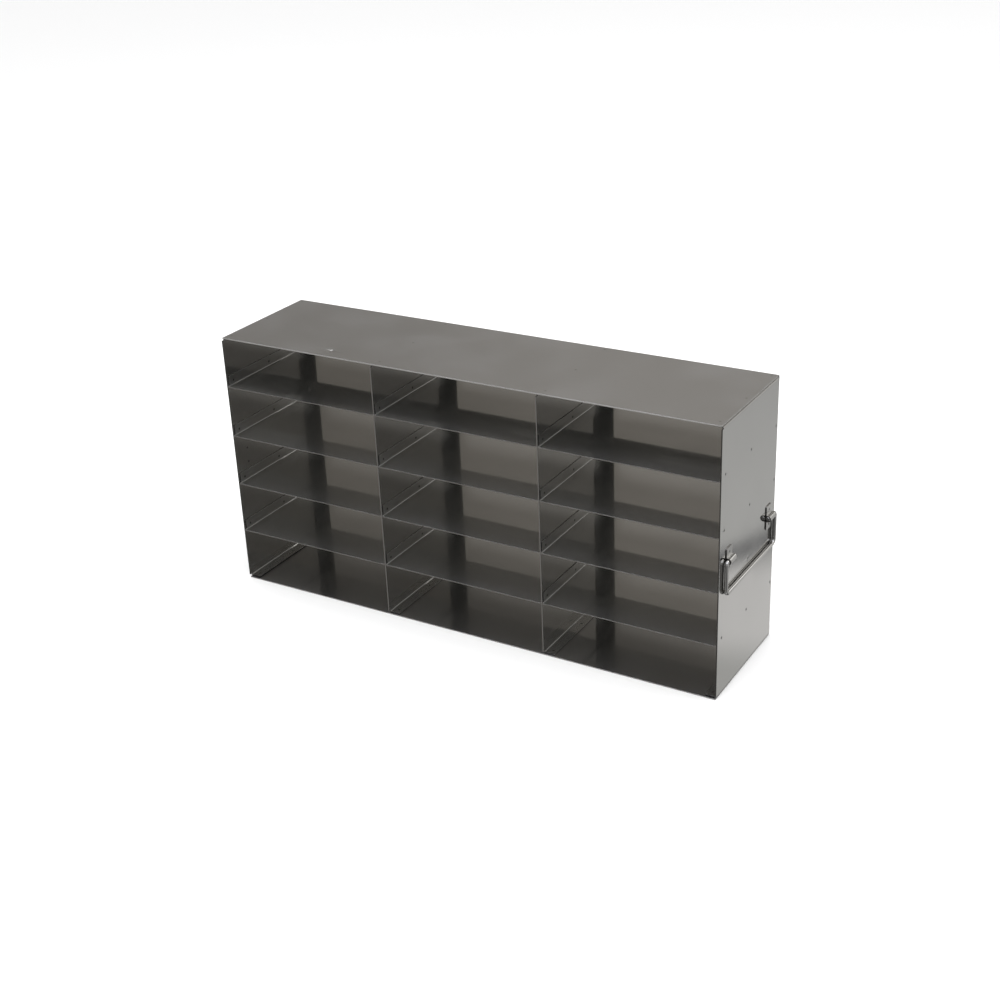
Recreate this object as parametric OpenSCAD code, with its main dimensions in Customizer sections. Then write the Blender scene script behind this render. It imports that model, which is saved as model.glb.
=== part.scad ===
// Side-access storage rack for an upright freezer: a spot-welded carcass of bent
// stainless sheet, open at the front, with channel shelves and a wire bail handle
// on each end.
//
// Frame: X along the rack, Y from the open front (-Y) to the back (+Y), Z up.
// The origin is the middle of the underside.

/* [Carcass] */
// Length over the outer faces of the two end panels
rack_l = 560; // [450:5:680]
// Depth from the open front to the back face
rack_w = 138.5; // [136:0.5:170]
// Height over the top and bottom sheets
rack_h = 282; // [240:2:340]
// Thickness of the top, bottom, end and divider sheets
sheet_t = 1.2; // [0.8:0.1:1.6]
// Inside radius of the bends in those sheets
bend_r = 1.2; // [0.6:0.1:2]
// Width of every turned flange and lip, over its bend
flange_w = 12.7; // [9:0.1:16]
// How far the walls' flanges stop short of the open front
flange_setback = 2.4; // [0:0.1:6]
// How far the top and bottom sheets stop short of the end panels' outer faces
cover_inset = 1; // [0:0.1:2]

/* [Bays] */
// Columns of bays side by side
bay_columns = 3; // [2:1:5]
// Rows of bays one above another
bay_rows = 5; // [3:1:6]

/* [Shelves] */
// Thickness of a shelf sheet
shelf_t = 0.9; // [0.6:0.1:1.2]
// Inside radius of a shelf's bends
shelf_bend_r = 0.9; // [0.5:0.1:1.6]
// Height of a shelf's upturned sides, over the bend
shelf_side_h = 12.2; // [8:0.1:16]
// How far the sides stop short of the shelf's front edge, above their bends
shelf_setback = 2; // [0:0.1:6]
// How far the shelves sit above even spacing, which leaves the bottom row taller
shelf_lift = 2; // [-3:0.5:5]
// Gap between a shelf's back edge and the rear bends of the walls
shelf_back_gap = 0.5; // [0.3:0.1:3]

/* [Wire handles] */
// Diameter of the wire
wire_d = 4; // [3.2:0.1:4.8]
// Spacing of the two legs, centre to centre
handle_w = 119.8; // [90:0.2:122]
// Drop from the pivot to the middle of the grip bar
handle_drop = 32.6; // [24:0.2:50]
// Centreline radius of the bends between legs and grip bar
grip_bend_r = 4.5; // [4:0.5:12]
// Centreline radius of the bends between legs and pivots
pivot_bend_r = 3; // [2.6:0.1:5]
// Height of the pivot above the underside
pivot_z = 142; // [80:1:180]
// How far the right handle's straps sit behind the panel's middle
handle_shift = 1; // [-3:0.5:3]
// Travel of the wire along its straps, each way from its middle place
end_float = 1.5; // [0.5:0.1:2.5]
// How far each wire end stands out of its strap, with the wire in its middle place
wire_tail = 1.5; // [0.5:0.1:5]
// Running gap round the wire, in the straps and off the end panel
running_gap = 0.3; // [0.2:0.05:0.5]

/* [Handle straps] */
// Length of a strap along the wire
strap_w = 12.7; // [10:0.1:24]
// Height of a strap's plate
strap_h = 25.4; // [20:0.2:40]
// Thickness of the strap sheet
strap_t = 1; // [0.7:0.1:1.2]
// Bend radius at the two feet of a strap's tunnel
strap_bend_r = 0.6; // [0.3:0.1:0.8]
// Corner radius of a strap's plate
strap_corner_r = 2; // [0.5:0.1:4]

/* [Hidden] */
$fn = 48;

SHEET_COLOR = [0.66, 0.66, 0.64];
SHELF_COLOR = [0.52, 0.51, 0.49];
STRAP_COLOR = [0.72, 0.72, 0.70];
WIRE_COLOR = [0.78, 0.78, 0.76];

// Turns that carry a fitting from the right-hand end panel to either end
RIGHT_END = 0;
LEFT_END = 180;

front_y = -rack_w / 2;
wall_bend = bend_r + sheet_t;
cover_l = rack_l - 2 * cover_inset;

// The walls stand between the two covers and in front of their back lips
wall_h = rack_h - 2 * sheet_t;
wall_w = rack_w - sheet_t;

// Clear width of a bay, and clear height between two shelves
bay_w = (rack_l - (bay_columns + 1) * sheet_t) / bay_columns;
bay_h = (wall_h - (bay_rows - 1) * shelf_t) / bay_rows;
shelf_w = wall_w - wall_bend - shelf_back_gap;

// The wire turns in the straps at this distance off the end panel
pivot_off = wire_d / 2 + running_gap;
tunnel_r = pivot_off;
strap_foot = tunnel_r + strap_t + strap_bend_r;
strap_mid = handle_w / 2 - pivot_bend_r - end_float - strap_w / 2;

// Each wire lies slid along until the bend at its front leg nearly meets a strap
wire_slide = end_float - running_gap;

function shelf_name(column, row) = str("shelf_column", column, "_level", row);
function wall_x(index) = index * (bay_w + sheet_t) - rack_l / 2;
function divider_name(index) = str("divider_", index);

// ---- sheet-metal sections ----

// Quarter ring of sheet round the origin, from its -X side to its -Y side
module bend_2d(inner_r, t) {
    outer_r = inner_r + t;
    intersection() {
        difference() {
            circle(outer_r);
            circle(inner_r);
        }
        translate([-outer_r, -outer_r])
            square(outer_r);
    }
}

// Sheet bent to a right angle, its outside corner at the origin and its legs
// along +X and +Y, each measured over the bend
module angle_2d(leg_x, leg_y, inner_r, t) {
    outer_r = inner_r + t;
    translate([outer_r, outer_r])
        bend_2d(inner_r, t);
    translate([outer_r, 0])
        square([leg_x - outer_r, t]);
    if (leg_y > outer_r)
        translate([0, outer_r])
            square([t, leg_y - outer_r]);
}

// Web along +Y from the origin with a flange turned to +X at each end
module channel_2d(web, flange, inner_r, t) {
    angle_2d(flange, web / 2, inner_r, t);
    translate([0, web])
        mirror([0, 1])
            angle_2d(flange, web / 2, inner_r, t);
}

// Stands a section drawn in X and Z up, and runs it back from one depth behind the
// front edge to another
module run_back(depth, from = 0) {
    translate([0, front_y + depth, 0])
        rotate([90, 0, 0])
            linear_extrude(depth - from)
                children();
}

// ---- carcass ----

// Upright wall with top, bottom and back flanges turned to +X; the corners where
// the flanges would meet, and short reliefs at the front, are cut away in the blank
module flanged_wall() {
    translate([0, 0, sheet_t])
        run_back(wall_w - wall_bend, flange_setback)
            channel_2d(wall_h, flange_w, bend_r, sheet_t);
    translate([0, 0, sheet_t + wall_bend])
        run_back(wall_w - wall_bend)
            square([sheet_t, wall_h - 2 * wall_bend]);
    translate([0, front_y + wall_w, sheet_t + wall_bend])
        linear_extrude(wall_h - 2 * wall_bend)
            mirror([0, 1])
                angle_2d(flange_w, wall_bend, bend_r, sheet_t);
}

// Flat sheet over the whole underside with its back lip turned up
module cover_sheet() {
    translate([-cover_l / 2, -front_y, 0])
        rotate([90, 0, 90])
            linear_extrude(cover_l)
                mirror([1, 0])
                    angle_2d(rack_w, flange_w, bend_r, sheet_t);
}

module bottom_sheet() {
    color(SHEET_COLOR)
        cover_sheet();
}

module top_sheet() {
    color(SHEET_COLOR)
        translate([0, 0, rack_h])
            mirror([0, 0, 1])
                cover_sheet();
}

module left_end_panel() {
    color(SHEET_COLOR)
        translate([wall_x(0), 0, 0])
            flanged_wall();
}

module right_end_panel() {
    color(SHEET_COLOR)
        mirror([1, 0, 0])
            translate([wall_x(0), 0, 0])
                flanged_wall();
}

module divider(index) {
    color(SHEET_COLOR)
        translate([wall_x(index), 0, 0])
            flanged_wall();
}

// Shelf cut across its depth, with its sides turned up to the given height
module shelf_2d(side_h) {
    for (side = [0, 1])
        mirror([side, 0])
            translate([-bay_w / 2, 0])
                angle_2d(bay_w / 2, side_h, shelf_bend_r, shelf_t);
}

// Channel shelf, its upturned sides spot-welded to the walls of its bay
module shelf(column, row) {
    color(SHELF_COLOR)
        translate([
            wall_x(column) - bay_w / 2,
            0,
            sheet_t + shelf_lift + row * bay_h + (row - 1) * shelf_t
        ]) {
            run_back(shelf_w)
                shelf_2d(shelf_bend_r + shelf_t);
            run_back(shelf_w, shelf_setback)
                shelf_2d(shelf_side_h);
        }
}

// ---- wire handles and their straps ----

// Puts a fitting drawn round its pivot line, with the panel's face on X = 0, in
// place on the end panel that the turn picks
module on_end_panel(turn) {
    rotate([0, 0, turn])
        translate([rack_l / 2, handle_shift, pivot_z])
            children();
}

// Plate with a half-round tunnel pressed across its middle, seen along the wire
module strap_2d() {
    for (half = [0, 1])
        mirror([0, half]) {
            translate([pivot_off, 0])
                rotate(180)
                    bend_2d(tunnel_r, strap_t);
            translate([strap_t + strap_bend_r, tunnel_r])
                square([pivot_off - strap_t - strap_bend_r, strap_t]);
            translate([strap_t + strap_bend_r, strap_foot])
                bend_2d(strap_bend_r, strap_t);
            translate([0, strap_foot])
                square([strap_t, strap_h / 2 - strap_foot]);
        }
}

// Rectangle about the origin with rounded corners
module rounded_rectangle(w, h, r) {
    square([w - 2 * r, h], center = true);
    square([w, h - 2 * r], center = true);
    for (x = [-1, 1], y = [-1, 1])
        translate([x * (w / 2 - r), y * (h / 2 - r)])
            circle(r);
}

// way is -1 or 1: the strap at the -Y or the +Y leg of the handle before the turn
module strap(turn, way) {
    color(STRAP_COLOR)
        on_end_panel(turn)
            translate([0, way * strap_mid, 0])
                intersection() {
                    translate([0, strap_w / 2, 0])
                        rotate([90, 0, 0])
                            linear_extrude(strap_w)
                                strap_2d();
                    rotate([90, 0, 90])
                        linear_extrude(pivot_off + tunnel_r + strap_t)
                            rounded_rectangle(strap_w, strap_h, strap_corner_r);
                }
}

// Straight piece of wire along +X from the origin
module wire_run(length) {
    rotate([0, 90, 0])
        cylinder(h = length, d = wire_d);
}

// Quarter turn of wire in the XY plane round the origin, from its +X side to +Y
module wire_bend(r) {
    rotate_extrude(angle = 90)
        translate([r, 0])
            circle(d = wire_d);
}

// One bent wire drawn flat, the pivot line on X and the grip bar below it: the
// two ends turn inwards through the straps
module handle_flat() {
    half_w = handle_w / 2;
    grip_l = handle_w - 2 * grip_bend_r;
    leg_l = handle_drop - grip_bend_r - pivot_bend_r;
    translate([-grip_l / 2, -handle_drop])
        wire_run(grip_l);
    for (side = [0, 1])
        mirror([side, 0]) {
            translate([half_w - grip_bend_r, grip_bend_r - handle_drop])
                rotate(-90)
                    wire_bend(grip_bend_r);
            translate([half_w, grip_bend_r - handle_drop])
                rotate(90)
                    wire_run(leg_l);
            translate([half_w - pivot_bend_r, -pivot_bend_r])
                wire_bend(pivot_bend_r);
            translate([half_w - pivot_bend_r, 0])
                rotate(180)
                    wire_run(end_float + strap_w + wire_tail);
        }
}

module handle(turn) {
    color(WIRE_COLOR)
        on_end_panel(turn)
            translate([pivot_off, wire_slide, 0])
                rotate([90, 0, 90])
                    handle_flat();
}

top_sheet();
bottom_sheet();
left_end_panel();
right_end_panel();
for (i = [1 : bay_columns - 1])
    divider(i);
for (c = [1 : bay_columns], r = [1 : bay_rows - 1])
    shelf(c, r);
strap(RIGHT_END, -1);  // right_strap_front
strap(RIGHT_END, 1);  // right_strap_rear
strap(LEFT_END, 1);  // left_strap_front
strap(LEFT_END, -1);  // left_strap_rear
handle(RIGHT_END);  // right_handle
handle(LEFT_END);  // left_handle
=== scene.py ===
import math

import bpy
import numpy as np
from mathutils import Matrix, Vector


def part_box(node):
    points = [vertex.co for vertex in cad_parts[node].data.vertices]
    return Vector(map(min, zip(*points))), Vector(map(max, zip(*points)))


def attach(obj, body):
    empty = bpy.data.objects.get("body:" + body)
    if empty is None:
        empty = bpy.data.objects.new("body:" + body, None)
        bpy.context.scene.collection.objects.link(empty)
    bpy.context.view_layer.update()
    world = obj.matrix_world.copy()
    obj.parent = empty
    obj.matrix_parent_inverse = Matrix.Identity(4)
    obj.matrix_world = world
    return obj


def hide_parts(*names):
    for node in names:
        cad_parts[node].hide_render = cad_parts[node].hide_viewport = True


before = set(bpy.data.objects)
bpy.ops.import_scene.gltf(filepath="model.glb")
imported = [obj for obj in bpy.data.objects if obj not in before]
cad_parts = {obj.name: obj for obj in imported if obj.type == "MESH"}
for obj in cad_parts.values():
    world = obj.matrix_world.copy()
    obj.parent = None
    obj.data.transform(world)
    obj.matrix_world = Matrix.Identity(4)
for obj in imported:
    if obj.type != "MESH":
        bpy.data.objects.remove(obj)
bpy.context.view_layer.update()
scene = bpy.context.scene

# ---- Camera ----
# A 56 mm lens a little above and to the right of the open front, about three
# rack lengths away, held with a slight tilt.
RACK_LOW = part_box("left_end_panel")[0]
RACK_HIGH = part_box("right_end_panel")[1]
RACK_LENGTH = RACK_HIGH.x - RACK_LOW.x


def aim_camera(azimuth, elevation, roll, distance, target, lens):
    """Camera at target + distance * back, where back points from the target to the
    camera; its right and up vectors are turned by roll about that line."""
    back = Vector((
        math.sin(azimuth) * math.cos(elevation),
        -math.cos(azimuth) * math.cos(elevation),
        math.sin(elevation),
    ))
    level_right = (-back).cross(Vector((0, 0, 1))).normalized()
    level_up = back.cross(level_right)
    right = level_right * math.cos(roll) + level_up * math.sin(roll)
    up = level_up * math.cos(roll) - level_right * math.sin(roll)
    camera = bpy.data.objects.new("camera", bpy.data.cameras.new("camera"))
    camera.data.lens = lens
    camera.data.sensor_width = 36
    camera.data.clip_start = 0.05
    camera.data.clip_end = 50
    camera.matrix_world = Matrix.Translation(target + back * distance) @ Matrix(
        (right, up, back)
    ).transposed().to_4x4()
    scene.collection.objects.link(camera)
    scene.camera = camera


aim_camera(
    azimuth=math.radians(31.25),
    elevation=math.radians(25.40),
    roll=math.radians(-2.41),
    distance=2.940 * RACK_LENGTH,
    target=Vector((-0.0140, 0.0466, 0.1971)) * RACK_LENGTH,
    lens=56.4,
)

# ---- Studio ----
# A wide white floor in a white room, lit from overhead. The steel mirrors a second room
# instead, grey with a pale ceiling and soft cards on its walls, and one small gridded
# lamp that makes the highlight on the handle. The floor is kept out of the steel.
FLOOR_HALF = 14.0
FLOOR_RISE = 0.0002
FLOOR_WHITE = 0.88
ROOM_WHITE = 1.05
WALL_GREY = 0.42
CEILING_TONE = (2.34, 2.37, 2.60)
ZENITH_TONE = (0.86, 0.86, 0.87)
CEILING_EDGE = (32, 64)
ZENITH_EDGE = (64, 76)
LAMP_GRID = math.radians(30)
# Each card is its left, right, bottom and top edge in degrees, how many degrees it
# leans down for each one to the right of CARD_UPRIGHT, its colour and its soft edge.
# Bearings run from 0, straight behind the rack, to the right. A later card is painted
# over the earlier ones.
CARD_UPRIGHT = 21.5
CARDS = [
    # High behind: the shelves and the top sheet mirror the left ones.
    ((-62, -4, 2, 38), 0, (0.215, 0.198, 0.176), 10),
    ((-31, -4, 2, 38), 0, (0.290, 0.268, 0.240), 14),
    ((-62, -4, 36, 62), 0, (0.95, 0.93, 0.90), 14),
    ((4, 62, 36, 62), 0, (2.30, 2.25, 2.18), 12),
    ((-62, -4, 42, 48), -0.26, (0.07, 0.066, 0.060), 3),
    # Low behind on the left: the insides of the bays mirror these.
    ((-62, -4, -50, 2), 0, (0.185, 0.172, 0.155), 8),
    ((-28, -4, -26.5, -12), 0, (0.100, 0.094, 0.087), 5),
    ((-62, -4, -60, -41.2), 0.26, (0.090, 0.085, 0.078), 3),
    # Low behind on the right: the end panel mirrors these, the thin one as a streak.
    ((4, 60, -50, -20), 0, (0.66, 0.66, 0.65), 12),
    ((4, 60, -60, -27.8), 0, (0.89, 0.88, 0.87), 1.0),
    ((4, 60, -60, -30.9), 0, (0.60, 0.60, 0.585), 1.6),
    ((19.4, 24.6, -27.55, -26.95), 0.48, (0.13, 0.13, 0.14), 0.5),
    ((24.5, 60, -60, -23), 0, (0.25, 0.24, 0.23), 4),
    # Higher behind on the right, and level with the rack.
    ((4, 60, 14, 36), 0, (0.15, 0.14, 0.127), 8),
    ((4, 31.5, 14, 36), 0, (0.265, 0.25, 0.23), 5),
    ((26, 66, -12, 13), 0, (0.74, 0.73, 0.71), 5),
    # Dark ones, which outline the upper and the lower side of the wire.
    ((-16, 15, 32, 43), 0, (0.16, 0.15, 0.14), 4),
    ((-10, 60, -70, -35), 0, (0.10, 0.10, 0.10), 1.5),
    # In front, left and right.
    ((-178, -118, 2, 50), 0, (0.03, 0.03, 0.03), 12),
    ((-178, -118, -50, -3), 0, (0.60, 0.59, 0.58), 12),
    ((110, 178, -50, 2), 0, (0.12, 0.12, 0.12), 16),
]


class Value:
    """One socket of a node graph. Arithmetic on it adds Math nodes."""

    def __init__(self, graph, socket):
        self.graph = graph
        self.socket = socket

    def math(self, operation, *others):
        return self.graph.node("ShaderNodeMath", {"operation": operation}, [self, *others])

    def __add__(self, other):
        return self.math("ADD", other)

    def __sub__(self, other):
        return self.math("SUBTRACT", other)

    def __mul__(self, other):
        return self.math("MULTIPLY", other)

    def __rsub__(self, other):
        return self.graph.node("ShaderNodeMath", {"operation": "SUBTRACT"}, [other, self])

    __radd__ = __add__
    __rmul__ = __mul__


class Graph:
    """The node tree of a material or of the world, emptied and built up again."""

    def __init__(self, owner):
        owner.use_nodes = True
        self.tree = owner.node_tree
        self.tree.nodes.clear()

    def node(self, kind, settings=None, inputs=(), output=0):
        """Adds a node: its settings first, then a value or a link for each input,
        given in order or by name."""
        made = self.tree.nodes.new(kind)
        for name, setting in (settings or {}).items():
            setattr(made, name, setting)
        pairs = inputs.items() if isinstance(inputs, dict) else enumerate(inputs)
        for key, value in pairs:
            if isinstance(value, Value):
                self.tree.links.new(value.socket, made.inputs[key])
            elif value is not None:
                made.inputs[key].default_value = value
        return Value(self, made.outputs[output]) if len(made.outputs) else None

    def step(self, value, low, high):
        """0 below low, 1 above high, and an S between them."""
        return self.node("ShaderNodeMapRange", {"interpolation_type": "SMOOTHSTEP"}, [value, low, high])

    def mix(self, share, first, second):
        """The first colour where share is 0 and the second where it is 1."""
        inputs = {0: share, 6: first, 7: second}
        return self.node("ShaderNodeMix", {"data_type": "RGBA"}, inputs, output=2)


def grey(level):
    return (level, level, level, 1.0)


def lay_floor():
    """A flat square of matt white paper, four corners at half its width from the middle.
    The rack sinks into it by a hair, which keeps its underside in sight from below."""
    corners = np.array([(-1, -1, 0), (1, -1, 0), (1, 1, 0), (-1, 1, 0)]) * FLOOR_HALF
    corners[:, 2] = FLOOR_RISE
    mesh = bpy.data.meshes.new("floor")
    mesh.from_pydata(corners.tolist(), [], [(0, 1, 2, 3)])
    floor = bpy.data.objects.new("floor", mesh)
    floor.visible_glossy = False
    scene.collection.objects.link(floor)
    paper = bpy.data.materials.new("white_paper")
    graph = Graph(paper)
    shader = graph.node(
        "ShaderNodeBsdfPrincipled",
        inputs={"Base Color": grey(FLOOR_WHITE), "Roughness": 0.9, "Specular IOR Level": 0.2},
    )
    graph.node("ShaderNodeOutputMaterial", inputs=[shader])
    mesh.materials.append(paper)


def light_room():
    """White for everything but the mirrored view, which has the cards painted over a
    grey room whose ceiling is pale round the edge and darker in the middle."""
    world = bpy.data.worlds.new("studio")
    scene.world = world
    graph = Graph(world)
    direction = graph.node("ShaderNodeTexCoord")
    x = graph.node("ShaderNodeSeparateXYZ", inputs=[direction], output="X")
    y = graph.node("ShaderNodeSeparateXYZ", inputs=[direction], output="Y")
    z = graph.node("ShaderNodeSeparateXYZ", inputs=[direction], output="Z")
    bearing = x.math("ARCTAN2", y) * math.degrees(1)
    height = z.math("ARCSINE") * math.degrees(1)

    def window(value, low, high, fade):
        return graph.step(value, low - fade / 2, low + fade / 2) * (
            1 - graph.step(value, high - fade / 2, high + fade / 2)
        )

    mirrored = graph.mix(graph.step(height, *CEILING_EDGE), grey(WALL_GREY), (*CEILING_TONE, 1.0))
    mirrored = graph.mix(graph.step(height, *ZENITH_EDGE), mirrored, (*ZENITH_TONE, 1.0))
    for (left, right, bottom, top), lean, color, fade in CARDS:
        leaned = height + lean * (bearing - CARD_UPRIGHT) if lean else height
        card = window(bearing, left, right, fade) * window(leaned, bottom, top, fade)
        mirrored = graph.mix(card, mirrored, (*color, 1.0))
    glossy = graph.node("ShaderNodeLightPath", output="Is Glossy Ray")
    seen = graph.mix(glossy, grey(ROOM_WHITE), mirrored)
    glow = graph.node("ShaderNodeBackground", inputs=[seen])
    graph.node("ShaderNodeOutputWorld", inputs=[glow])


def hang_lamp(name, place, aim, size, power, mirrored=False):
    """A square softbox at place, turned to face aim, that the steel doesn't mirror. A
    mirrored one is the other way round: gridded, and seen in the steel alone."""
    light = bpy.data.lights.new(name, "AREA")
    light.size = size
    light.energy = power
    if mirrored:
        light.diffuse_factor = 0.0
        light.spread = LAMP_GRID
    lamp = bpy.data.objects.new(name, light)
    lamp.matrix_world = Matrix.Translation(place) @ (
        (Vector(aim) - Vector(place)).to_track_quat("-Z", "Y").to_matrix().to_4x4()
    )
    lamp.visible_glossy = mirrored
    lamp.visible_camera = False
    scene.collection.objects.link(lamp)


lay_floor()
light_room()
hang_lamp("overhead_lamp", place=(0.3, -0.4, 2.6), aim=(0, 0, 0), size=2.4, power=60)
hang_lamp(
    "handle_lamp",
    place=(0.479, 0.349, 0.317),
    aim=(0.2855, 0, 0.109),
    size=0.16,
    power=0.0046,
    mirrored=True,
)
scene.view_settings.view_transform = "Standard"

# ---- Top and bottom sheets ----
# Two covers of bright cold-rolled stainless sheet, sheared to size, turned over at the
# back in a press brake, and spot-welded to the flanges of the uprights. The top one has
# a small dent near its front left corner.
SHEET = 0.0012
SHEET_BEND = 0.0018
COVER_LIP = 0.0127
WELD_DEPTHS = np.array([0.0090, 0.0695, 0.1315])
WELD_DISH = 0.00010
WELD_RADIUS = 0.0012
WELD_TONE = 0.08
STEEL_TONE = (0.500, 0.496, 0.482)
NICK_PLACE = (-0.1510, 0.0160)
NICK_REACH = (0.0026, 0.0017)
NICK_DEPTH = 0.00080
BACK_MARK = 0.4
# The covers' cut edges get a much lighter tone than the other cut edges: a painted highlight for the
# light their rims catch.
COVER_EDGE_HIGHLIGHT_TONE = (0.62, 0.615, 0.60)
COVER_EASE = 0.00030
SHEET_EASE = 0.00012
# How the grid of points on a blank is ruled.
COARSE_GAP = 0.012
BEND_LINES = 9
STOP_PAIR = 0.0003
FINE_STEPS = np.arange(-7, 8) * 0.00025
LINE_GAP = 0.00012
STOP_GAP = 0.00015
# The steel's finish: how fine its smudges, waves, grain and torn edge are, how deep
# they are in metres, and how much each of them darkens or roughens the surface.
SMUDGE_SCALE = 16.0
SMUDGE_EDGE = (0.35, 0.75)
WAVE_SCALE = 8.0
WAVE_DEPTH = 0.00012
GRAIN_SCALE = (60.0, 3200.0, 1.0)
GRAIN_DEPTH = 0.00001
STREAK_TONE = 0.82
STREAK_SHARE = 0.10
SMUDGE_ROUGHNESS = 0.025
SMUDGE_HAZE = 0.06
GRAIN_ROUGHNESS = 0.015
WELD_ROUGHNESS = 0.20
TORN_SCALE = 900.0
TORN_DEPTH = 0.00005
TORN_TONE = 0.7
TORN_ROUGHNESS = 0.1
EDGE_ROUGHNESS = 0.20


def bent_line(distance, stretches):
    """The middle line of bent stock at each distance along its blank: along and rise
    are the sums of the cosine and sine of the heading, which turns evenly through the
    turn of each (length, turn) stretch."""
    place = np.zeros(np.shape(distance), complex)
    heading = np.zeros(np.shape(distance))
    start = turned = 0.0
    for length, turn in stretches:
        run = np.clip(distance - start, 0, length)
        if turn:
            bend = turn / length
            place += (np.exp(1j * (turned + bend * run)) - np.exp(1j * turned)) / (1j * bend)
            heading += bend * run
        else:
            place += run * np.exp(1j * turned)
        start += length
        turned += turn
    return place.real, place.imag, heading


def blank_length(stretches):
    return sum(length for length, turn in stretches)


def bend_of(radius, turn=math.pi / 2):
    """A stretch that turns through an angle at a radius to the middle of the stock."""
    return abs(turn) * radius, turn


def ruled(stops, fine=(), bends=(), coarse=COARSE_GAP):
    """Grid lines across a blank: its stops, a close pair round each stop, several across
    each bend, a tight patch on each fine place, and coarse ones between them."""
    stops = np.unique(np.round(stops, 7))
    loose = [
        np.linspace(low, high, int((high - low) / coarse) + 2)
        for low, high in zip(stops[:-1], stops[1:])
    ]
    loose += [np.linspace(low, high, BEND_LINES) for low, high in bends]
    loose += [stops - STOP_PAIR, stops + STOP_PAIR]
    loose += [place + FINE_STEPS for place in fine]
    loose = np.unique(np.concatenate(loose).round(5))
    loose = loose[np.diff(loose, prepend=-1) > LINE_GAP]
    loose = loose[(loose > stops[0]) & (loose < stops[-1])]
    clear = np.abs(loose[:, None] - stops).min(axis=1) > STOP_GAP
    return np.unique(np.concatenate([stops, loose[clear]]))


def welds(u, v, spots):
    """How strongly each point of the blank is marked: the sum over the spots of a bell
    of the distance from the spot."""
    mark = np.zeros(np.broadcast(u, v).shape)
    for spot_u, spot_v in spots:
        mark += np.exp(-(((u - spot_u) ** 2 + (v - spot_v) ** 2) / WELD_RADIUS**2) ** 2)
    return mark


def sheet_piece(name, middle, normal, kept, u, v, thickness, front=0, back=0, flip=False):
    """A closed sheet: two copies of the middle surface, half the thickness out along the
    normal on each side and dished by the front and back weld marks, joined all round
    the kept cells by the cut edge."""
    rows, columns = middle.shape[:2]
    count = rows * columns
    half = thickness / 2
    faces_out = middle + normal * (half - WELD_DISH * np.broadcast_to(front, (rows, columns)))[..., None]
    faces_in = middle - normal * (half - WELD_DISH * np.broadcast_to(back, (rows, columns)))[..., None]
    points = np.concatenate([faces_out.reshape(-1, 3), faces_in.reshape(-1, 3)])
    index = np.arange(count).reshape(rows, columns)
    corner = [index[:-1, :-1], index[1:, :-1], index[1:, 1:], index[:-1, 1:]]
    skin = np.stack([c[kept] for c in corner], axis=1)
    ring = np.pad(kept, 1)
    beyond = [ring[1:-1, :-2], ring[2:, 1:-1], ring[1:-1, 2:], ring[:-2, 1:-1]]
    edge = []
    for side in range(4):
        bare = kept & ~beyond[side]
        p = corner[side][bare]
        q = corner[(side + 1) % 4][bare]
        edge.append(np.stack([q, p, p + count, q + count], axis=1))
    edge = np.concatenate(edge)
    quads = np.concatenate([skin, skin[:, ::-1] + count, edge])
    if flip:
        quads = quads[:, ::-1]
    used, quads = np.unique(quads, return_inverse=True)
    quads = quads.reshape(-1, 4)
    blank = np.stack(np.broadcast_arrays(u, v), axis=-1).reshape(-1, 2)
    blank = np.concatenate([blank, blank])[used]
    marks = np.concatenate([np.broadcast_to(m, (rows, columns)).ravel() for m in (front, back)])[used]
    cut = np.arange(len(quads)) >= 2 * len(skin)
    return steel_piece(name, points[used], quads, blank, marks, cut)


def steel_piece(name, points, quads, blank, marks, cut):
    """A mesh object of four-cornered faces, with its blank as the UV map, its weld marks
    as an attribute, and its cut edge in the second material slot."""
    mesh = bpy.data.meshes.new(name)
    mesh.from_pydata(points, [], quads)
    layer = mesh.uv_layers.new(name="blank")
    layer.uv.foreach_set("vector", blank[quads.ravel()].ravel().astype(np.float32))
    mesh.attributes.new("weld", "FLOAT", "POINT").data.foreach_set("value", marks.astype(np.float32))
    mesh.polygons.foreach_set("material_index", cut.astype(np.int32))
    mesh.polygons.foreach_set("use_smooth", np.ones(len(quads), bool))
    mesh.set_sharp_from_angle(angle=math.radians(40))
    piece = bpy.data.objects.new(name, mesh)
    scene.collection.objects.link(piece)
    return piece


def ease_edges(piece, width):
    """Takes the sharpness off the cut edges, as a deburring wheel does."""
    eased = piece.modifiers.new("eased_edges", "BEVEL")
    eased.width = width
    eased.segments = 2
    eased.limit_method = "ANGLE"
    eased.angle_limit = math.radians(50)
    eased.harden_normals = True


def darker(tone, share):
    return (*(part * share for part in tone), 1.0)


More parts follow.
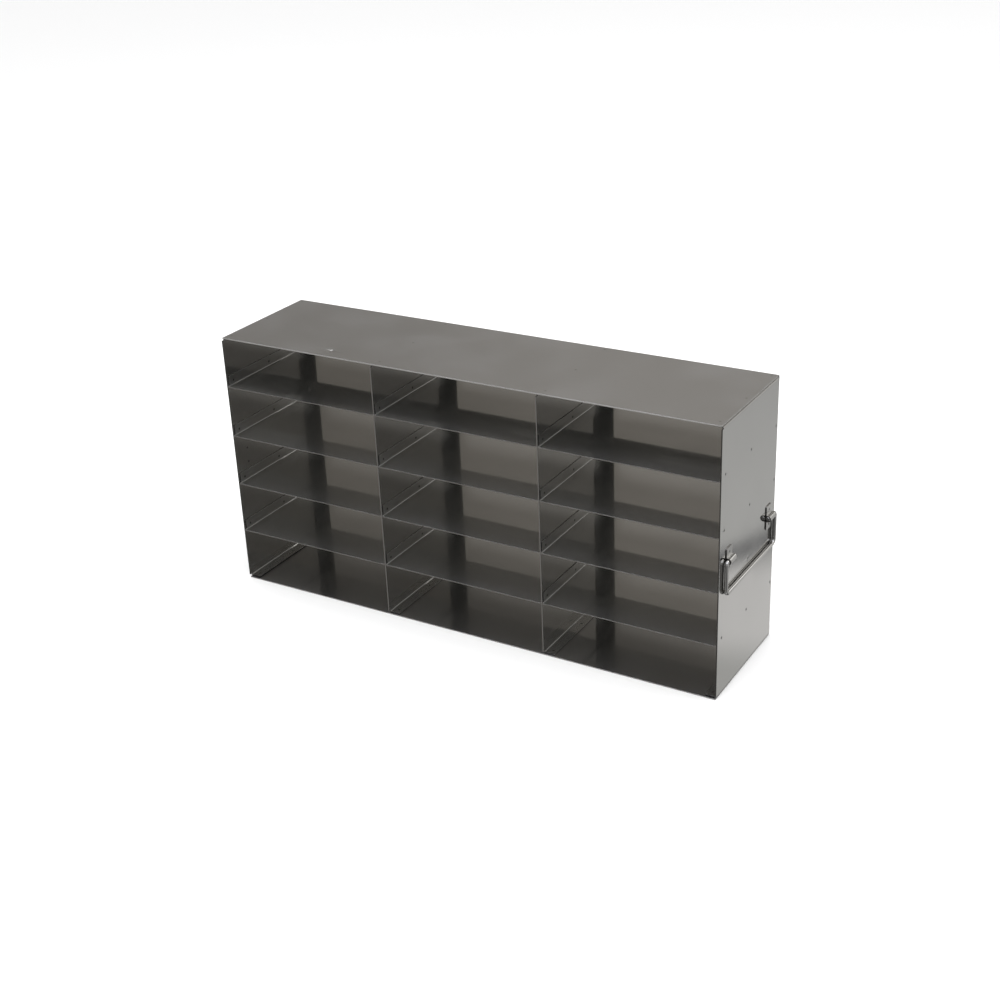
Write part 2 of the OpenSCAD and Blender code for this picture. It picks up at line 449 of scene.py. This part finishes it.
def stainless(name, tone, core, haze, haze_share):
    """Cold-rolled stainless steel: a sharp mirror under a haze that spreads across the
    rolling grain, which runs along the blank's U. Both are roughened by finger smudges,
    the sheet is slightly wavy, and the weld marks are darker and duller."""
    material = bpy.data.materials.new(name)
    graph = Graph(material)
    place = graph.node("ShaderNodeTexCoord", output="Object")
    blank = graph.node("ShaderNodeUVMap", {"uv_map": "blank"})
    weld = graph.node("ShaderNodeAttribute", {"attribute_name": "weld"}, output="Fac")
    smudge = graph.node(
        "ShaderNodeTexNoise", inputs={"Vector": place, "Scale": SMUDGE_SCALE, "Detail": 5.0}
    )
    wave = graph.node("ShaderNodeTexNoise", inputs={"Vector": place, "Scale": WAVE_SCALE, "Detail": 1.0})
    along_grain = graph.node("ShaderNodeVectorMath", {"operation": "MULTIPLY"}, [blank, GRAIN_SCALE])
    grain = graph.node("ShaderNodeTexNoise", inputs={"Vector": along_grain, "Scale": 1.0, "Detail": 3.0})
    worn = graph.step(smudge, *SMUDGE_EDGE)
    bowed = graph.node(
        "ShaderNodeBump", inputs={"Strength": 1.0, "Distance": WAVE_DEPTH, "Height": wave}
    )
    rolled = graph.node(
        "ShaderNodeBump",
        inputs={"Strength": 0.25, "Distance": GRAIN_DEPTH, "Height": grain, "Normal": bowed},
    )
    streaked = graph.mix(
        STREAK_SHARE * grain + STREAK_SHARE * worn, (*tone, 1.0), darker(tone, STREAK_TONE)
    )
    color = graph.mix(weld, streaked, darker(tone, WELD_TONE))
    tangent = graph.node("ShaderNodeTangent", {"direction_type": "UV_MAP", "uv_map": "blank"})
    shared = {"Base Color": color, "Metallic": 1.0, "Normal": rolled}
    mirror = graph.node(
        "ShaderNodeBsdfPrincipled",
        inputs={
            **shared,
            "Roughness": (
                core + SMUDGE_ROUGHNESS * worn + GRAIN_ROUGHNESS * grain + WELD_ROUGHNESS * weld
            ),
        },
    )
    brushed = graph.node(
        "ShaderNodeBsdfPrincipled",
        inputs={
            **shared,
            "Roughness": haze + SMUDGE_HAZE * worn,
            "Anisotropic": 0.85,
            "Anisotropic Rotation": 0.25,
            "Tangent": tangent,
        },
    )
    both = graph.node("ShaderNodeMixShader", inputs=[haze_share, mirror, brushed])
    graph.node("ShaderNodeOutputMaterial", inputs=[both])
    return material


def sheared_edge(name, tone):
    """The bare cut edge of the sheet, with a fine torn grain in its tone and relief."""
    material = bpy.data.materials.new(name)
    graph = Graph(material)
    place = graph.node("ShaderNodeTexCoord", output="Object")
    torn = graph.node(
        "ShaderNodeTexNoise", inputs={"Vector": place, "Scale": TORN_SCALE, "Detail": 3.0}
    )
    color = graph.mix(torn, darker(tone, TORN_TONE), (*tone, 1.0))
    bump = graph.node(
        "ShaderNodeBump", inputs={"Strength": 0.3, "Distance": TORN_DEPTH, "Height": torn}
    )
    roughness = EDGE_ROUGHNESS + TORN_ROUGHNESS * torn
    shader = graph.node(
        "ShaderNodeBsdfPrincipled",
        inputs={"Base Color": color, "Metallic": 1.0, "Roughness": roughness, "Normal": bump},
    )
    graph.node("ShaderNodeOutputMaterial", inputs=[shader])
    return material


top_steel = stainless("top_steel", STEEL_TONE, core=0.03, haze=0.32, haze_share=0.50)
bottom_steel = stainless("bottom_steel", STEEL_TONE, core=0.03, haze=0.32, haze_share=0.32)
# Painted highlight: the covers' cut edge is a lighter copy of the cut edge that the uprights and shelves
# get.
highlit_cover_edge = sheared_edge("highlit_cover_edge", COVER_EDGE_HIGHLIGHT_TONE)


def fit_sheet(piece, node, body, slot, *finishes, ease=SHEET_EASE):
    """Stands the piece for its CAD node and gives it its finishes and eased edges."""
    for finish in finishes:
        piece.data.materials.append(finish)
    ease_edges(piece, ease)
    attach(piece, body)
    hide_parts(node)


WALLS = ["left_end_panel", "divider_1", "divider_2", "right_end_panel"]
FLANGE_MIDDLES = [(low.x + high.x) / 2 for low, high in (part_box(wall) for wall in WALLS)]


def cover(node, top, steel):
    """A flat sheet whose blank runs back and then up over the back bend. The top sheet
    is the same thing turned upside down, and sinks at the dent by a bell of the
    distance from its middle."""
    low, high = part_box(node)
    depth = high.y - low.y
    flat = depth - SHEET / 2 - SHEET_BEND
    lip = COVER_LIP - SHEET / 2 - SHEET_BEND
    profile = [(flat, 0), bend_of(SHEET_BEND), (lip, 0)]
    turn_end = blank_length(profile[:2])
    u = ruled([low.x, high.x], [*FLANGE_MIDDLES, NICK_PLACE[0]])[:, None]
    v = ruled(
        [0, flat, turn_end, blank_length(profile)], [*WELD_DEPTHS, NICK_PLACE[1]], [(flat, turn_end)]
    )[None, :]
    along, rise, heading = bent_line(v, profile)
    up = -1 if top else 1
    ground = high.z - SHEET / 2 if top else low.z + SHEET / 2
    ones = np.ones_like(u * v)
    middle = np.stack([u * ones, (low.y + along) * ones, (ground + up * rise) * ones], axis=-1)
    normal = np.stack([0 * ones, -np.sin(heading) * ones, up * np.cos(heading) * ones], axis=-1)
    if top:
        away = ((u - NICK_PLACE[0]) / NICK_REACH[0]) ** 2 + ((v - NICK_PLACE[1]) / NICK_REACH[1]) ** 2
        middle[..., 2] -= NICK_DEPTH * np.exp(-away)
    marks = welds(u, v, [(x, depth) for x in FLANGE_MIDDLES for depth in WELD_DEPTHS])
    kept = np.ones((u.size - 1, v.size - 1), bool)
    piece = sheet_piece(
        node + "_formed", middle, normal, kept, u, v, SHEET, front=marks, back=BACK_MARK * marks, flip=top
    )
    fit_sheet(piece, node, "rack", "carcass_sheet", steel, highlit_cover_edge, ease=COVER_EASE)


cover("bottom_sheet", top=False, steel=bottom_steel)
cover("top_sheet", top=True, steel=top_steel)

# ---- End panels and dividers ----
# Four uprights of the same sheet. Each is notched at its corners and folded on three
# sides, top, bottom and back; the right-hand end panel is folded the other way.
# The covers lie on their flanges, and everything else is welded to their webs.
FLANGE_SETBACK = 0.0024
SHELF_NODES = [[f"shelf_column{column}_level{level}" for level in range(1, 5)] for column in range(1, 4)]
SHELF_SHEET = 0.0009
WELD_LIFT = 0.0048
SHELF_WELD_HEIGHTS = [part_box(node)[0].z + SHELF_SHEET + WELD_LIFT for node in SHELF_NODES[0]]
STRAPS = ["right_strap_front", "right_strap_rear", "left_strap_front", "left_strap_rear"]
STRAP_WELD = 0.0079
UNDER_STRAP_MARK = 0.3
EDGE_TONE = (0.27, 0.263, 0.252)
# The end panels' cut edges are toned nearly black, far darker than the other cut edges: painted shade.
END_EDGE_SHADE_TONE = (0.075, 0.073, 0.070)
wall_steel = stainless("wall_steel", STEEL_TONE, core=0.03, haze=0.40, haze_share=0.15)
cut_edge = sheared_edge("cut_edge", EDGE_TONE)
shaded_end_edge = sheared_edge("shaded_end_edge", END_EDGE_SHADE_TONE)


def strap_welds(side):
    """The two marks of each strap on one end, as (depth, height)."""
    spots = []
    for node in STRAPS:
        low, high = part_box(node)
        middle = (low + high) / 2
        if middle.x * side > 0:
            spots += [(middle.y, middle.z - STRAP_WELD), (middle.y, middle.z + STRAP_WELD)]
    return spots


def upright(node, side=0):
    """A web whose blank is folded by the height u, at the top and bottom flanges, and by
    the depth v, at the back lip. The cells where flange and lip would meet, and those
    in front of the flanges, are left out. side is -1 or 1 for an end panel."""
    low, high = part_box(node)
    mirrored = side > 0
    web_x = high.x - SHEET / 2 if mirrored else low.x + SHEET / 2
    way = -1 if mirrored else 1
    leg = high.x - low.x - SHEET / 2 - SHEET_BEND
    half_web = (high.z - low.z) / 2 - SHEET / 2 - SHEET_BEND
    flat = high.y - low.y - SHEET / 2 - SHEET_BEND
    center_z = (low.z + high.z) / 2
    tall = [(half_web, 0), bend_of(SHEET_BEND), (leg, 0)]
    deep = [(flat, 0), bend_of(SHEET_BEND), (leg, 0)]
    tall_end, deep_end = blank_length(tall), blank_length(deep)
    fold_u, fold_v = blank_length(tall[:2]), blank_length(deep[:2])
    shelf_spots = [(z - center_z, depth) for z in SHELF_WELD_HEIGHTS for depth in WELD_DEPTHS]
    flange_u = fold_u + leg / 2
    flange_spots = [(s * flange_u, depth) for s in (-1, 1) for depth in WELD_DEPTHS]
    strap_spots = [(z - center_z, y - low.y) for y, z in strap_welds(side)]
    spots = shelf_spots + flange_spots + strap_spots
    stops_u = [half_web, fold_u, tall_end]
    u = ruled(
        [-place for place in stops_u] + stops_u,
        [spot[0] for spot in spots],
        [(-fold_u, -half_web), (half_web, fold_u)],
    )[:, None]
    v = ruled(
        [0, FLANGE_SETBACK, flat, fold_v, deep_end],
        [spot[1] for spot in spots],
        [(flat, fold_v)],
    )[None, :]
    above = np.sign(u)
    along_u, rise_u, turn_u = bent_line(np.abs(u), tall)
    along_v, rise_v, turn_v = bent_line(v, deep)
    ones = np.ones_like(u * v)
    middle = np.stack([
        web_x + way * (rise_u + rise_v),
        (low.y + along_v) * ones,
        (center_z + above * along_u) * ones,
    ], axis=-1)
    normal = np.stack([
        -way * np.cos(turn_u) * np.cos(turn_v),
        np.cos(turn_u) * np.sin(turn_v),
        above * np.sin(turn_u) * np.cos(turn_v),
    ], axis=-1)
    cell_u = np.abs(u[:-1] + u[1:]) / 2
    cell_v = (v[:, :-1] + v[:, 1:]) / 2
    kept = (cell_u < half_web) | ((cell_v > FLANGE_SETBACK) & (cell_v < flat))
    outside = welds(u, v, shelf_spots) + UNDER_STRAP_MARK * welds(u, v, strap_spots)
    inside = welds(u, v, strap_spots) + welds(u, v, flange_spots)
    piece = sheet_piece(
        node + "_formed", middle, normal, kept, u, v, SHEET,
        front=outside, back=inside, flip=mirrored,
    )
    # The end panels take the darkened cut edge, painted shade; the dividers take the plain one.
    fit_sheet(piece, node, "rack", "carcass_sheet", wall_steel, shaded_end_edge if side else cut_edge)


upright("left_end_panel", side=-1)
upright("divider_1")
upright("divider_2")
upright("right_end_panel", side=1)

# ---- Shelves ----
# Twelve channel shelves of thinner sheet, four to a column. Both sides are turned up
# and spot-welded to the webs of the uprights, three welds to a side.
SHELF_BEND = 0.00135
SIDE_SETBACK = 0.0020
shelf_steel = stainless("shelf_steel", STEEL_TONE, core=0.03, haze=0.32, haze_share=0.46)


def shelf(node):
    """A floor whose blank is folded up by the distance u to each side of its middle. The
    cells of the sides in front of the setback are left out."""
    low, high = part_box(node)
    center_x = (low.x + high.x) / 2
    half_floor = (high.x - low.x) / 2 - SHELF_SHEET / 2 - SHELF_BEND
    leg = high.z - low.z - SHELF_SHEET / 2 - SHELF_BEND
    profile = [(half_floor, 0), bend_of(SHELF_BEND), (leg, 0)]
    fold, end = blank_length(profile[:2]), blank_length(profile)
    weld_u = fold + WELD_LIFT + SHELF_SHEET / 2 - SHELF_BEND
    stops = [half_floor, fold, end]
    u = ruled(
        [-place for place in stops] + stops,
        [-weld_u, weld_u],
        [(-fold, -half_floor), (half_floor, fold)],
    )[:, None]
    v = ruled([0, SIDE_SETBACK, high.y - low.y], WELD_DEPTHS)[None, :]
    side = np.sign(u)
    along, rise, turn = bent_line(np.abs(u), profile)
    ones = np.ones_like(u * v)
    middle = np.stack([
        (center_x + side * along) * ones,
        (low.y + v) * ones,
        (low.z + SHELF_SHEET / 2 + rise) * ones,
    ], axis=-1)
    normal = np.stack([-side * np.sin(turn) * ones, 0 * ones, np.cos(turn) * ones], axis=-1)
    marks = welds(u, v, [(s * weld_u, depth) for s in (-1, 1) for depth in WELD_DEPTHS])
    kept = (np.abs(u[:-1] + u[1:]) / 2 < fold) | ((v[:, :-1] + v[:, 1:]) / 2 > SIDE_SETBACK)
    piece = sheet_piece(node + "_formed", middle, normal, kept, u, v, SHELF_SHEET, front=marks)
    fit_sheet(piece, node, "rack", "shelf_sheet", shelf_steel, cut_edge)


for column in SHELF_NODES:
    for node in column:
        shelf(node)

# ---- Handle straps ----
# Four small plates blanked from 1 mm stainless, each with a half-round tunnel pressed
# across it and a spot weld on each side of the tunnel. The wire turns in the tunnels.
STRAP_SHEET = 0.0010
STRAP_FOOT_BEND = 0.0011
TUNNEL_BEND = 0.0028
TUNNEL_LEG = 0.0007
STRAP_CORNER = 0.0020
CORNER_LINES = 9
STRAP_GAP = 0.001
# Where the grid lines across a strap run, as shares of its half width.
STRAP_SHARES = np.concatenate([[-1.0, -0.96], np.linspace(-0.9, 0.9, 31), [0.96, 1.0]])
strap_steel = stainless("strap_steel", STEEL_TONE, core=0.05, haze=0.36, haze_share=0.35)


def strap(node):
    """A plate whose blank is folded by the distance v above and below the wire: over the
    tunnel, down its leg, and out along the plate. The plate's ends are narrowed by
    the drop of a quarter circle, which rounds its corners."""
    low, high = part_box(node)
    side = 1 if low.x > 0 else -1
    face_x = high.x if side > 0 else low.x
    middle_y, middle_z = (low.y + high.y) / 2, (low.z + high.z) / 2
    half_height, half_width = (high.z - low.z) / 2, (high.y - low.y) / 2
    plate = half_height - TUNNEL_BEND - STRAP_FOOT_BEND
    profile = [
        bend_of(TUNNEL_BEND), (TUNNEL_LEG, 0), bend_of(STRAP_FOOT_BEND, -math.pi / 2), (plate, 0)
    ]
    crown, leg, foot, end = (blank_length(profile[:n]) for n in range(1, 5))
    fine = end - STRAP_CORNER * (1 - np.sin(np.linspace(0, math.pi / 2, CORNER_LINES)))
    v = np.concatenate([
        ruled(
            [0.0, crown, leg, foot, end - STRAP_CORNER],
            [foot + plate / 2],
            [(0.0, crown / 2), (crown / 2, crown), (leg, foot)],
            coarse=STRAP_GAP,
        )[:-1],
        fine,
    ])
    v = np.concatenate([-v[:0:-1], v])[None, :]
    tip = np.clip(np.abs(v) - (end - STRAP_CORNER), 0, STRAP_CORNER)
    u = STRAP_SHARES[:, None] * (half_width - STRAP_CORNER + np.sqrt(STRAP_CORNER**2 - tip**2))
    above = np.sign(v)
    along, drop, turn = bent_line(np.abs(v), profile)
    ones = np.ones_like(u)
    middle = np.stack([
        (face_x - side * (STRAP_SHEET / 2 + drop)) * ones,
        middle_y + side * u,
        (middle_z + above * along) * ones,
    ], axis=-1)
    normal = np.stack([side * np.cos(turn) * ones, 0 * ones, above * np.sin(turn) * ones], axis=-1)
    weld_v = foot + (STRAP_WELD - TUNNEL_BEND - STRAP_FOOT_BEND)
    marks = welds(u, v, [(0.0, -weld_v), (0.0, weld_v)])
    kept = np.ones((u.shape[0] - 1, u.shape[1] - 1), bool)
    piece = sheet_piece(node + "_pressed", middle, normal, kept, u, v, STRAP_SHEET, front=marks)
    fit_sheet(piece, node, "rack", "strap_sheet", strap_steel, cut_edge)


for node in STRAPS:
    strap(node)

# ---- Wire handles ----
# One bail of 4 mm stainless wire on each end, bent to shape after its two ends were
# put through the straps. It hangs flat against the end panel and lifts outwards.
WIRE = 0.0040
PIVOT_BEND = 0.0030
GRIP_BEND = 0.0045
WIRE_END = 0.0157
WIRE_EASE = 0.0003
WIRE_SIDES = 40
WIRE_GAP = 0.006
WIRE_TONE = (0.56, 0.555, 0.54)
wire_steel = stainless("wire_steel", WIRE_TONE, core=0.04, haze=0.22, haze_share=0.20)


def handle(node, body):
    """A round wire carried along its bent middle line: each ring is a circle across the
    heading. The first and last rings are drawn in to ease the cut ends."""
    low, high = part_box(node)
    side = 1 if low.x > 0 else -1
    middle_x, middle_y = (low.x + high.x) / 2, (low.y + high.y) / 2
    half_span = (high.y - low.y) / 2 - WIRE / 2
    drop = high.z - low.z - WIRE
    leg = drop - PIVOT_BEND - GRIP_BEND
    grip = 2 * (half_span - GRIP_BEND)
    pivot_turn, grip_turn = bend_of(PIVOT_BEND, -math.pi / 2), bend_of(GRIP_BEND, -math.pi / 2)
    path = [
        (WIRE_END, 0), pivot_turn, (leg, 0), grip_turn, (grip, 0), grip_turn, (leg, 0), pivot_turn,
        (WIRE_END, 0),
    ]
    stops = [blank_length(path[:n]) for n in range(len(path) + 1)]
    bends = [(stops[n], stops[n + 1]) for n in (1, 3, 5, 7)]
    s = ruled(stops, bends=bends, coarse=WIRE_GAP)
    along, rise, heading = bent_line(s, path)
    start_y = middle_y + side * (half_span - PIVOT_BEND - WIRE_END)
    radius = np.full(s.size, WIRE / 2)
    radius[[0, -1]] -= WIRE_EASE
    angle = np.arange(WIRE_SIDES) / WIRE_SIDES * 2 * math.pi
    across = radius[:, None] * np.cos(angle)
    out = radius[:, None] * np.sin(angle)
    ring_y = along[:, None] - np.sin(heading)[:, None] * across
    ring_z = rise[:, None] + np.cos(heading)[:, None] * across
    points = np.stack(
        [middle_x + side * out, start_y + side * ring_y, high.z - WIRE / 2 + ring_z], axis=-1
    ).reshape(-1, 3)
    index = np.arange(s.size * WIRE_SIDES).reshape(s.size, WIRE_SIDES)
    following = np.roll(index, -1, axis=1)
    quads = np.stack([index[:-1], following[:-1], following[1:], index[1:]], axis=-1).reshape(-1, 4)
    faces = quads.tolist() + [index[0, ::-1].tolist(), index[-1].tolist()]
    mesh = bpy.data.meshes.new(node + "_bail")
    mesh.from_pydata(points, [], faces)
    corners = np.concatenate([np.asarray(face) for face in faces])
    ring = corners // WIRE_SIDES
    spoke = corners % WIRE_SIDES
    # The faces that close the ring end on its first spoke, which counts as a full turn.
    spokes = spoke[: quads.size].reshape(-1, 4)
    closing = (spokes == 0) & (spokes.max(axis=1) > 1)[:, None]
    spoke[: quads.size] += WIRE_SIDES * closing.ravel()
    blank = np.stack([s[ring], spoke / WIRE_SIDES * math.pi * WIRE], axis=-1)
    mesh.uv_layers.new(name="blank").uv.foreach_set("vector", blank.ravel().astype(np.float32))
    mesh.polygons.foreach_set("use_smooth", np.ones(len(faces), bool))
    mesh.set_sharp_from_angle(angle=math.radians(35))
    mesh.materials.append(wire_steel)
    piece = bpy.data.objects.new(node + "_bail", mesh)
    scene.collection.objects.link(piece)
    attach(piece, body)
    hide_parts(node)


handle("right_handle", "right_handle")
handle("left_handle", "left_handle")
